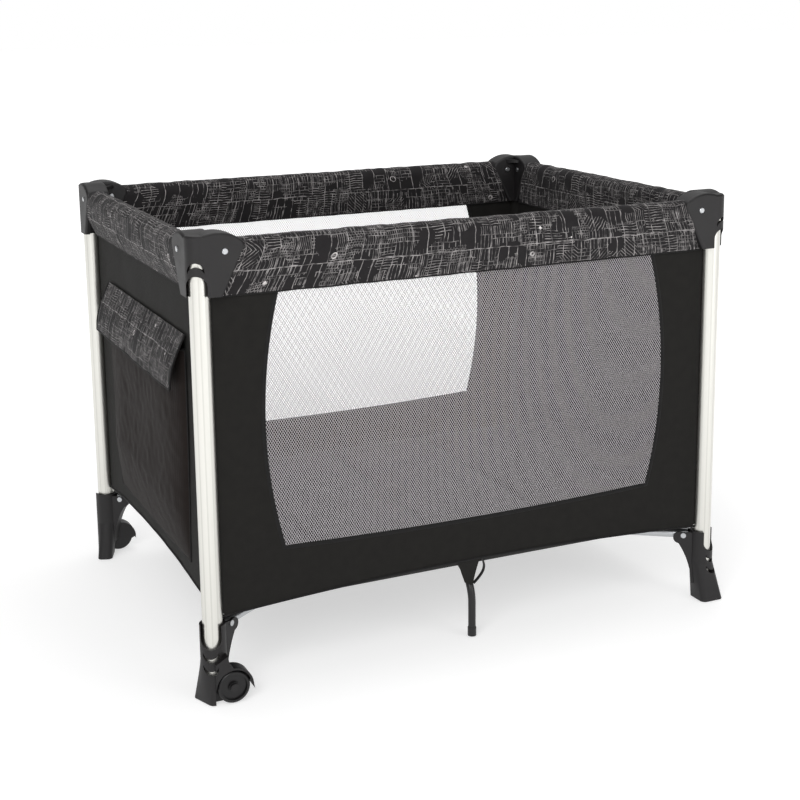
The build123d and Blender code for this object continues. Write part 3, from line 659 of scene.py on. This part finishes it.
# %% Knit the mesh
def knit(name):
    bpy.ops.object.select_all(action="DESELECT")
    bpy.ops.mesh.primitive_circle_add(vertices=4, radius=0.5, fill_type="NGON", rotation=(math.pi / 2, 0, 0))
    piece = bpy.context.object
    piece.name = piece.data.name = name
    piece.scale = (cell_width, cell_height, 1)
    bpy.ops.object.transform_apply(location=True, rotation=True, scale=True)
    bpy.ops.object.mode_set(mode="EDIT")
    bpy.ops.mesh.select_all(action="SELECT")
    inradius = cell_width * cell_height / 2 / math.hypot(cell_width, cell_height)
    bpy.ops.mesh.inset(thickness=inradius * (1 - math.sqrt(open_share)), depth=0)
    bpy.ops.mesh.delete(type="FACE")
    bpy.ops.object.mode_set(mode="OBJECT")
    step, period = (cell_width / 2, 0, cell_height / 2), (cell_width, cell_height)
    second = piece.modifiers.new("second", "ARRAY")
    second.count, second.use_relative_offset, second.use_constant_offset = 2, False, True
    second.constant_offset_displace = step
    width, height = 2 * (window_half + window_bulge), window_top - window_low.z
    for count, offset in (
        (math.ceil(width / period[0]) + 1, (period[0], 0, 0)),
        (math.ceil(height / period[1]) + 1, (0, 0, period[1])),
    ):
        repeat = piece.modifiers.new("repeat", "ARRAY")
        repeat.count, repeat.use_relative_offset, repeat.use_constant_offset = count, False, True
        repeat.constant_offset_displace = offset
    apply_modifiers(piece)
    for point in piece.data.vertices:
        point.co.x -= width / 2
        point.co.z += window_low.z
    for face in piece.data.polygons:
        centre = face.center
        inside = abs(centre.x) < window_edge(centre.z) and window_sill(centre.x) < centre.z < window_top
        face.select = not inside
    bpy.ops.object.mode_set(mode="EDIT")
    bpy.ops.mesh.select_mode(type="FACE")
    bpy.ops.mesh.delete(type="FACE")
    bpy.ops.mesh.select_all(action="SELECT")
    bpy.ops.mesh.remove_doubles(threshold=cell_width * 0.01)
    bpy.ops.object.mode_set(mode="OBJECT")
    paint(piece, mesh_thread)
    return piece


belly = 5 * MM  # how far the middle of a window stands out
front_mesh = knit("mesh_window_front")
back_mesh = front_mesh.copy()
back_mesh.data = front_mesh.data.copy()
back_mesh.name = "mesh_window_back"
bpy.context.scene.collection.objects.link(back_mesh)
back_mesh.data.flip_normals()
for mesh_panel, side_y in ((front_mesh, -1), (back_mesh, 1)):
    for point in mesh_panel.data.vertices:
        t = point.co.x / (window_half + window_bulge)
        s = (2 * point.co.z - window_top - sill) / (window_top - sill)
        point.co.y = side_y * (half_y + belly * (1 - t * t) * max(0.0, 1 - s * s))
    print(mesh_panel.name, len(mesh_panel.data.polygons), "faces")


# %% [markdown]
# ## The long walls
# A long wall is one cloth with the window cut out of it, so the cloth is a U: down beside the window,
# along under it and up again. The grid runs round the U, from the window's edge out to the posts and
# the hem. A binding tape covers the cut edge of the mesh.

# %% Long walls with their window bindings
side_edge = half_x - post_radius - 1 * MM
hem_low = wall_low.z
hem_rise = 18 * MM


def hem_height(t, low, rise):
    return low + arc_bulge(t, rise)


def top_edge(distance):
    """Top of a wall at that distance from the post's axis: just under the cap, then up inside the band."""
    return min(wall_high.z, cap_low.z - 0.5 * MM + (distance - post_radius) * 0.25)


side_share = 0.27  # share of the U's length that each upright takes
u_size = (1.6, 0.14)  # about the U's length and its width in metres, for the map


def u_point(u):
    """The window's edge and the cloth's outer edge at u along the U."""
    if u < side_share or u > 1 - side_share:
        sign = -1 if u < side_share else 1
        down = u / side_share if u < side_share else (1 - u) / side_share
        inner_z = wall_high.z + (sill - wall_high.z) * down
        inner_x = window_edge(max(min(inner_z, window_top), sill)) if inner_z < window_top else window_half
        outer_top = top_edge(post_radius + 1 * MM)
        outer_z = outer_top + (hem_low - outer_top) * down
        return (sign * inner_x, inner_z), (sign * side_edge, outer_z)
    t = 2 * (u - side_share) / (1 - 2 * side_share) - 1
    x = window_half * t
    return (x, window_sill(x)), (side_edge * t, hem_height(t, hem_low, hem_rise))


def long_wall(side_y):
    def place(u, v):
        (x0, z0), (x1, z1) = u_point(u)
        x, z = x0 + (x1 - x0) * v, z0 + (z1 - z0) * v
        free = math.sin(math.pi * min(1.0, max(0.0, v)))
        ease = 2.2 * wrinkle(x, z * 0.5, 0.09, side_y * 4 + 20)
        ease += 1.0 * wrinkle(x + z, z - x, 0.03, side_y + 30)
        return (x, side_y * (half_y + ease * free * MM), z)

    return place


def window_outline(steps):
    """Points round the window's edge: up the right side, along the top, down the left and along the sill."""
    shares = [step / steps for step in range(steps)]
    rises = [sill + (window_top - sill) * share for share in shares]
    falls = [window_top - (window_top - sill) * share for share in shares]
    across = [-window_half + 2 * window_half * share for share in shares]
    outline = [(window_edge(z), z) for z in rises] + [(-x, window_top) for x in across]
    return outline + [(-window_edge(z), z) for z in falls] + [(x, window_sill(x)) for x in across]


hem_radius = 2.2 * MM
hem_lift = Vector((0, 0, 1 * MM))
steps = 60
for name, side_y, corner in (("front", -1, "front_left"), ("back", 1, "back_left")):
    body = f"post_{corner}"
    place = long_wall(side_y)
    wall = cloth_grid(f"wall_{name}_cloth", 150, 14, u_size, place, wall_cloth, flip=side_y > 0)
    route = [(x, side_y * half_y, z) for x, z in window_outline(steps)]
    binding = cord_along(
        f"window_{name}_binding", [route], 4.0 * MM, binding_cloth, closed=True, flat=(1, 0.45, 1)
    )
    under = [side_share + (1 - 2 * side_share) * step / steps for step in range(steps + 1)]
    hem_route = [Vector(place(u, 1.0)) + hem_lift for u in under]
    hem = cord_along(f"wall_{name}_hem", [hem_route], hem_radius, binding_cloth)
    mesh_panel = front_mesh if side_y < 0 else back_mesh
    for piece in (wall, binding, hem, mesh_panel):
        ride_and_fold(piece, body)
    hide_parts(f"wall_{name}")
    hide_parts(f"mesh_{name}")

# %% [markdown]
# ## The end walls
# The ends are plain cloth from post to post. They hang a little inside the posts, and their hem arches.

# %% End walls
end_edge = half_y - post_radius - 1 * MM
end_hem, end_rise = end_low.z, 20 * MM
for name, side_x, corner in (("left", -1, "front_left"), ("right", 1, "front_right")):

    def place(u, v, side_x=side_x):
        t = 2 * u - 1
        low = hem_height(t, end_hem, end_rise)
        high = top_edge(half_y - abs(t) * end_edge)
        z = low + (high - low) * v
        free = (1 - t**4) * (0.35 + 0.65 * math.sin(math.pi * v))
        y = t * end_edge
        ease = 2.6 * wrinkle(y, z * 0.45, 0.1, side_x * 7 + 40) + 1.0 * wrinkle(y + z, z, 0.035, side_x + 50)
        return (side_x * (half_x - end_inset + ease * free * MM), y, z)

    size = (2 * end_edge, end_high.z - end_low.z)
    wall = cloth_grid(f"wall_{name}_cloth", 90, 70, size, place, wall_cloth, flip=side_x < 0)
    hem_route = [Vector(place(step / steps, 0)) + hem_lift for step in range(steps + 1)]
    hem = cord_along(f"wall_{name}_hem", [hem_route], hem_radius, binding_cloth)
    for piece in (wall, hem):
        ride_and_fold(piece, f"post_{corner}")
    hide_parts(f"wall_{name}")
print("end walls", [round(v, 3) for v in size])

# %% [markdown]
# ## The corners of the tub
# At each corner the tub's cloth goes round the inside of the post, so that no tube shows from inside.

# %% Corner cloth round the posts
corner_radius = post_radius + 1.5 * MM
first_angle, arc = -4, 74  # degrees round the post, from the long wall towards the end wall
corner_low, corner_high = end_hem + 4 * MM, cap_low.z - 2 * MM
for corner, (side_x, side_y) in corners.items():

    def place(u, v, side_x=side_x, side_y=side_y):
        angle = math.radians(first_angle + arc * u)
        z = corner_low + (corner_high - corner_low) * v
        ease = (1 + 0.03 * wrinkle(angle, z, 0.08, 60 + side_x)) * corner_radius
        return (side_x * (half_x - ease * math.cos(angle)), side_y * (half_y - ease * math.sin(angle)), z)

    size = (corner_radius * math.radians(arc), corner_high - corner_low)
    flip = side_x * side_y < 0
    name = f"corner_cloth_{corner}"
    lining = cloth_grid(name, 8, 50, size, place, wall_cloth, thickness=0.8 * MM, flip=flip)
    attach(lining, f"post_{corner}")

# %% [markdown]
# ## The pocket and its flap
# The pocket is a panel with gathered sides, sewn to the end wall round three sides, so it bellies away from
# the wall. The printed flap is sewn above it and hangs over the mouth, which stays behind it. The flap's
# lower edge flares out, because nothing holds it.

# %% Pocket panel
pocket_low, pocket_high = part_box("pocket")
pocket_face = pocket_high.x
pocket_depth = pocket_high.x - pocket_low.x
pocket_half = pocket_high.y
flap_low, flap_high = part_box("pocket_flap")
flap_half = flap_high.y
flap_drop = flap_high.z - flap_low.z
flap_seam = flap_high.x - 1 * MM  # the flap's cloth at its seam
under_flap = 4.5 * MM  # room for the mouth's binding behind the flap


def flap_out(v):
    """How far the flap stands off the wall, v from its seam to its free edge."""
    return (flap_high.x - flap_low.x) * (0.06 + 0.94 * math.sin(min(1.0, v / 0.9) * math.pi / 2) ** 1.1)


def pocket_place(u, v):
    t = 2 * u - 1
    z = pocket_low.z + (pocket_high.z - pocket_low.z) * v
    narrow = 1 - 0.07 * (1 - v) ** 2
    y = t * pocket_half * narrow
    side_rise = (1 - abs(t) ** 5) ** 0.6
    foot_rise = min(1.0, (v / 0.3)) ** 0.55 if v > 0 else 0.0
    sag = 1.0 + 0.28 * math.exp(-((v - 0.22) ** 2) / 0.03)
    depth = 1 * MM + (pocket_depth - 2 * MM) * side_rise * foot_rise * (0.78 + 0.22 * v) * sag
    folds = 3.4 * wrinkle(y * 0.7, z * 0.35, 0.06, 71) + 1.5 * wrinkle(y + z, z - y, 0.028, 75)
    depth += folds * MM * side_rise * foot_rise
    # the part behind the flap stays clear of it, and the rest swells out again below the flap's edge
    below = (flap_high.z - z) / flap_drop
    if below < 1.5:
        room = flap_out(min(below, 1)) + pocket_face - flap_seam - under_flap
        depth = min(depth, room + max(0.0, below - 1) * 60 * MM)
    return (pocket_face - max(depth, 1.2 * MM), y, z)


pocket_size = (2 * pocket_half, pocket_high.z - pocket_low.z)
pocket = cloth_grid("pocket_cloth", 90, 70, pocket_size, pocket_place, pocket_cloth, flip=True)
mouth_route = [pocket_place(step / 80, 1) for step in range(81)]
mouth = cord_along("pocket_mouth_binding", [mouth_route], hem_radius, binding_cloth)
seam_route = [pocket_place(0, 1 - step / 30) for step in range(31)]
seam_route += [pocket_place(step / 40, 0) for step in range(1, 41)]
seam_route += [pocket_place(1, step / 30) for step in range(1, 31)]
seam = cord_along("pocket_seam_piping", [seam_route], 1.6 * MM, binding_cloth)
for piece in (pocket, mouth, seam):
    ride_and_fold(piece, "post_front_left")
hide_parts("pocket")

# %% Flap
def flap_place(u, v):
    """v runs from the seam at the top to the free edge."""
    t = 2 * u - 1
    y = t * flap_half * (1 - 0.01 * v)
    flare = 7 * MM * max(0.0, v - 0.55) ** 1.5 * (1 + 1.2 * wrinkle(y, 0, 0.07, 81))
    folds = 2.4 * wrinkle(y, v * 0.03, 0.05, 83) + 1.2 * wrinkle(y, v * 0.05, 0.02, 85)
    folds *= MM * min(1.0, 3 * v)
    z = flap_high.z - 1 * MM - flap_drop * v + 2.5 * MM * v * wrinkle(y, 0, 0.08, 87)
    return (flap_seam - flap_out(v) - flare - abs(folds) * 0.9 - 1 * MM * v, y, z)


flap_size = (2 * flap_half, flap_drop * 1.12)  # longer than its drop, because it stands off the wall
flap = cloth_grid("flap_cloth", 100, 26, flap_size, flap_place, printed)
edge_route = [flap_place(0, step / 20) for step in range(20)]
edge_route += [flap_place(step / 90, 1) for step in range(91)]
edge_route += [flap_place(1, 1 - step / 20) for step in range(1, 21)]
edge = cord_along("flap_binding", [edge_route], 1.8 * MM, binding_cloth)
for piece in (flap, edge):
    ride_and_fold(piece, "pocket_flap")
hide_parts("pocket_flap")
print("pocket", [round(v, 3) for v in pocket_size], "flap", [round(v, 3) for v in flap_size])

# %% [markdown]
# ## The floor
# One sewn cloth closes the bottom of the tub. Its edges are sewn to the walls a little above their hems
# and its middle rests on the hub, so it dips. It is modelled in quarters, each with the base arm under
# it, because the cloth lifts with the arms as the base folds up.

# %% Floor quarters
floor_low, floor_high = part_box("floor_front_left")
floor_x, floor_y = -floor_low.x, -floor_low.y
floor_z = (floor_low.z + floor_high.z) / 2
turn_up = 28 * MM
over_hem = 5 * MM
floor_reach = 3.5 * MM  # from the edge of the flat floor to the wall


def floor_place(side_x, side_y):
    """The place() of a quarter of the floor, from the middle of the playpen out to a post."""

    def place(u, v):
        x, y = u * floor_x, v * floor_y
        # the edge turns up to the wall's arched hem over the last few centimetres
        near_side = max(0.0, 1 - (floor_y - y) / turn_up)
        near_end = max(0.0, 1 - (floor_x - x) / turn_up)
        to_side_hem = hem_height(x / side_edge, hem_low, hem_rise) + over_hem - floor_z
        to_end_hem = hem_height(y / end_edge, end_hem, end_rise) + over_hem - floor_z
        z = floor_z + max(to_side_hem * near_side**2, to_end_hem * near_end**2)
        x, y = x + floor_reach * near_end, y + floor_reach * near_side
        # the corner of the cut goes round the post
        from_post = math.hypot(x - half_x, y - half_y)
        if from_post < post_radius:
            x = half_x + (x - half_x) * post_radius / from_post
            y = half_y + (y - half_y) * post_radius / from_post
        return (side_x * x, side_y * y, z)

    return place


size = (floor_x, floor_y)
for corner, (side_x, side_y) in corners.items():
    place, flip = floor_place(side_x, side_y), side_x * side_y < 0
    quarter = cloth_grid(f"floor_{corner}_cloth", 72, 56, size, place, wall_cloth, flip=flip)
    ride_and_fold(quarter, f"arm_{corner}")
    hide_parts(f"floor_{corner}")
print("floor quarters", [round(v, 3) for v in size])

# %% [markdown]
# ## The mattress
# The mattress is four padded boards in one cover, so that it can be folded round the closed frame. Each
# board is a thin slab that is remeshed and puffed up with the cloth simulation, which gives the crowned
# top and soft corners that foam under a cover has. The two middle boards have a notch for the pull strap.

# %% Puff up a padded board
mattress_low, mattress_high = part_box("mattress")
board_length = (mattress_high.x - mattress_low.x) / 4
pad_middle = (mattress_low.z + mattress_high.z) / 2
pad_thickness = 15 * MM  # before it is puffed up
seam_gap, side_gap = 5 * MM, 8 * MM  # between two boards, and at the walls in all
notch_size = (70 * MM, 34 * MM, 0.1)
puff_limit = 5 * MM
puff_frames = 20
edge_room = 0.5 * MM


def padded_board(name, start, notch_x):
    """A board from start along +X, with a notch at notch_x if given."""
    bpy.ops.object.select_all(action="DESELECT")
    bpy.ops.mesh.primitive_cube_add(size=1, location=(start + board_length / 2, 0, pad_middle))
    piece = bpy.context.object
    piece.name = piece.data.name = name
    piece.scale = (board_length - seam_gap, mattress_high.y - mattress_low.y - side_gap, pad_thickness)
    bpy.ops.object.transform_apply(location=True, rotation=True, scale=True)
    if notch_x is not None:
        bpy.ops.object.select_all(action="DESELECT")
        bpy.ops.mesh.primitive_cube_add(size=1, location=(notch_x, 0, pad_middle))
        cutter = bpy.context.object
        cutter.scale = notch_size
        bpy.ops.object.transform_apply(location=True, rotation=True, scale=True)
        notch = piece.modifiers.new("notch", "BOOLEAN")
        notch.object, notch.operation, notch.solver = cutter, "DIFFERENCE", "EXACT"
        apply_modifiers(piece)
        bpy.data.objects.remove(cutter)
    remesh = piece.modifiers.new("even", "REMESH")
    remesh.mode, remesh.voxel_size = "VOXEL", 6 * MM
    apply_modifiers(piece)
    start_points = [point.co.copy() for point in piece.data.vertices]
    puff = piece.modifiers.new("puff", "CLOTH")
    puff.settings.use_pressure, puff.settings.uniform_pressure_force = True, 4.0
    puff.settings.effector_weights.gravity = 0.0
    puff.settings.quality = 5
    puff.point_cache.frame_start, puff.point_cache.frame_end = 1, puff_frames
    for number in range(1, puff_frames + 1):
        bpy.context.scene.frame_set(number)
    apply_modifiers(piece)
    bpy.context.scene.frame_set(1)
    for point, before in zip(piece.data.vertices, start_points):
        move = point.co - before
        if move.length > puff_limit:
            point.co = before + move.normalized() * puff_limit
        point.co.x = min(max(point.co.x, start + edge_room), start + board_length - edge_room)
        point.co.y = min(max(point.co.y, mattress_low.y + edge_room), mattress_high.y - edge_room)
        point.co.z = min(max(point.co.z, mattress_low.z + 0.3 * MM), mattress_high.z + 2 * MM)
    smooth = piece.modifiers.new("settle", "SMOOTH")
    smooth.iterations = 3
    apply_modifiers(piece)
    bpy.ops.object.shade_smooth()
    paint(piece, mattress_cloth)
    return piece


boards = []
for number in range(4):
    start = mattress_low.x + number * board_length
    boards.append(padded_board(f"mattress_board_{number + 1}", start, 0.0 if number in (1, 2) else None))
for board in boards:
    ride_and_fold(board, "mattress")
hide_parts("mattress")
print("mattress boards", [len(board.data.polygons) for board in boards])

# %% [markdown]
# ## The ties at the centre legs
# Under the middle of each long hem a triangle of cloth reaches down to the centre leg and a narrow loop of
# webbing goes round it. They keep the leg and the cloth together when the base folds.

# %% Gusset and loop
leg_low, leg_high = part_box("center_leg_front")
leg_x, leg_reach = (leg_low.x + leg_high.x) / 2, -(leg_low.y + 8 * MM)
tie_top = hem_low + hem_rise + 2 * MM
gusset_size = (30 * MM, 62 * MM)
loop_size = (60 * MM, 7 * MM)
for name, side_y, corner in (("front", -1, "front_left"), ("back", 1, "back_left")):
    tie_x = -side_y * leg_x
    hem_y = side_y * (half_y - 1.5 * MM)
    grip = Vector((tie_x + side_y * 4 * MM, side_y * (leg_reach + 2 * MM), 103 * MM))

    def gusset_place(u, v, side_y=side_y, tie_x=tie_x, hem_y=hem_y, grip=grip):
        start = Vector((tie_x + side_y * (46 - 46 * u) * MM, hem_y, tie_top))
        end = grip + Vector((side_y * (12 - 16 * u) * MM, 0, (4 - 8 * u) * MM))
        spot = start.lerp(end, v)
        slack = 3 * MM * math.sin(math.pi * v) * wrinkle(u * 0.05, v * 0.05, 0.03, 90)
        return spot + Vector((0, side_y * slack, 0))

    gusset = cloth_grid(f"leg_gusset_{name}", 10, 14, gusset_size, gusset_place, wall_cloth, flip=side_y < 0)

    def loop_place(u, v, side_y=side_y, tie_x=tie_x, hem_y=hem_y, grip=grip):
        start = Vector((tie_x - side_y * 2 * MM, hem_y, tie_top))
        end = grip + Vector((-side_y * 6 * MM, 0, -1 * MM))
        spot = start.lerp(end, u) + Vector((-side_y * 13 * MM * math.sin(math.pi * u), 0, 0))
        return spot + Vector((0, (v - 0.5) * loop_size[1], 0))

    loop = cloth_grid(f"leg_loop_{name}", 20, 3, loop_size, loop_place, webbing, thickness=1.4 * MM)
    for piece, slot in ((gusset, "wall_cloth"), (loop, "webbing")):
        ride_and_fold(piece, f"post_{corner}")
print("ties", [round(v, 3) for v in (*gusset_size, *loop_size)])

# %% [markdown]
# ## Studio
# The floor glows: its emission is painted light that keeps the shadow under the playpen pale, and it is
# dimmer near the playpen than further out.
# The backdrop is white, but it gives less light than it shows, so that black cloth stays black. Large soft
# lights on both sides draw bright lines down the round posts and give the cloth shape.

# %% Floor, lights and camera
bpy.ops.object.select_all(action="DESELECT")
bpy.ops.mesh.primitive_plane_add(size=60, location=(0, 0, -1.5 * MM))
ground = bpy.context.object
ground.name = "studio_floor"
# painted light: the floor gives off light of its own, which lifts the shadow under the playpen
lit = {"Emission_Color": (1, 1, 1, 1), "Specular_IOR_Level": 0.0}
ground_paint, ground_surface = finish("floor_painted_glow", "#C8C8C8", 0.9, **lit)
where = add(ground_paint, "ShaderNodeTexCoord")
far = add(ground_paint, "ShaderNodeVectorMath", {0: where.outputs["Object"]}, operation="LENGTH")
# painted glow: it gets brighter from the playpen outwards, from 0.8 to 2.6 m
brighter = {"From Min": 0.8, "From Max": 2.6, "To Min": 0.56, "To Max": 0.95}
shine = add(ground_paint, "ShaderNodeMapRange", {"Value": far.outputs["Value"], **brighter})
link(ground_paint, shine.outputs["Result"], ground_surface.inputs["Emission Strength"])
paint(ground, ground_paint)

world = bpy.data.worlds.new("studio")
world.use_nodes = True
room = world.node_tree.nodes["Background"]
room.inputs["Color"].default_value = (1, 1, 1, 1)
# the room is bright in front, behind and above, and dim at the sides, so that round tubes get shaded edges
view_way = math.radians(24.5)
look = add(world, "ShaderNodeTexCoord")
glow = 0.1
for way, strength in (((math.sin(view_way), math.cos(view_way), 0), 0.62), ((0, 0, 1), 0.35)):
    facing_it = add(
        world, "ShaderNodeVectorMath", {0: look.outputs["Generated"], 1: way}, operation="DOT_PRODUCT"
    ).outputs["Value"]
    share = maths(world, "MULTIPLY", facing_it, facing_it)
    glow = maths(world, "ADD", maths(world, "MULTIPLY", share, strength), glow)
link(world, glow, room.inputs["Strength"])
backdrop = add(world, "ShaderNodeBackground", {"Color": (1, 1, 1, 1), "Strength": 1.0})
ray = add(world, "ShaderNodeLightPath")
shown = {0: ray.outputs["Is Camera Ray"], 1: room.outputs[0], 2: backdrop.outputs[0]}
seen = add(world, "ShaderNodeMixShader", shown)
link(world, seen.outputs[0], world.node_tree.nodes["World Output"].inputs["Surface"])
bpy.context.scene.world = world


def soft_light(name, place, target, size, power):
    """A square soft box at that place, size metres across, turned to its target."""
    lamp = bpy.data.lights.new(name, "AREA")
    lamp.size, lamp.energy = size, power
    holder = bpy.data.objects.new(name, lamp)
    holder.location = place
    holder.rotation_euler = (Vector(target) - Vector(place)).to_track_quat("-Z", "Y").to_euler()
    bpy.context.scene.collection.objects.link(holder)


soft_light("key", (-2.2, -2.8, 2.6), (0, 0, 0.4), 2.0, 75)
soft_light("fill", (1.6, -3.6, 1.6), (0, 0, 0.4), 2.2, 38)
soft_light("top", (0.3, 0.6, 3.4), (0, 0, 0), 2.5, 35)

lens = bpy.data.cameras.new("camera")
lens.lens, lens.sensor_width, lens.shift_y = 66.2, 36, -0.125
camera = bpy.data.objects.new("camera", lens)
stand = Matrix.Translation((-1.146, -2.564, 1.153))
for degrees, axis in ((-24.54, "Z"), (78.2, "X"), (-0.67, "Z")):
    stand = stand @ Matrix.Rotation(math.radians(degrees), 4, axis)
camera.matrix_world = stand
bpy.context.scene.collection.objects.link(camera)
bpy.context.scene.camera = camera
bpy.context.scene.view_settings.view_transform = "Standard"
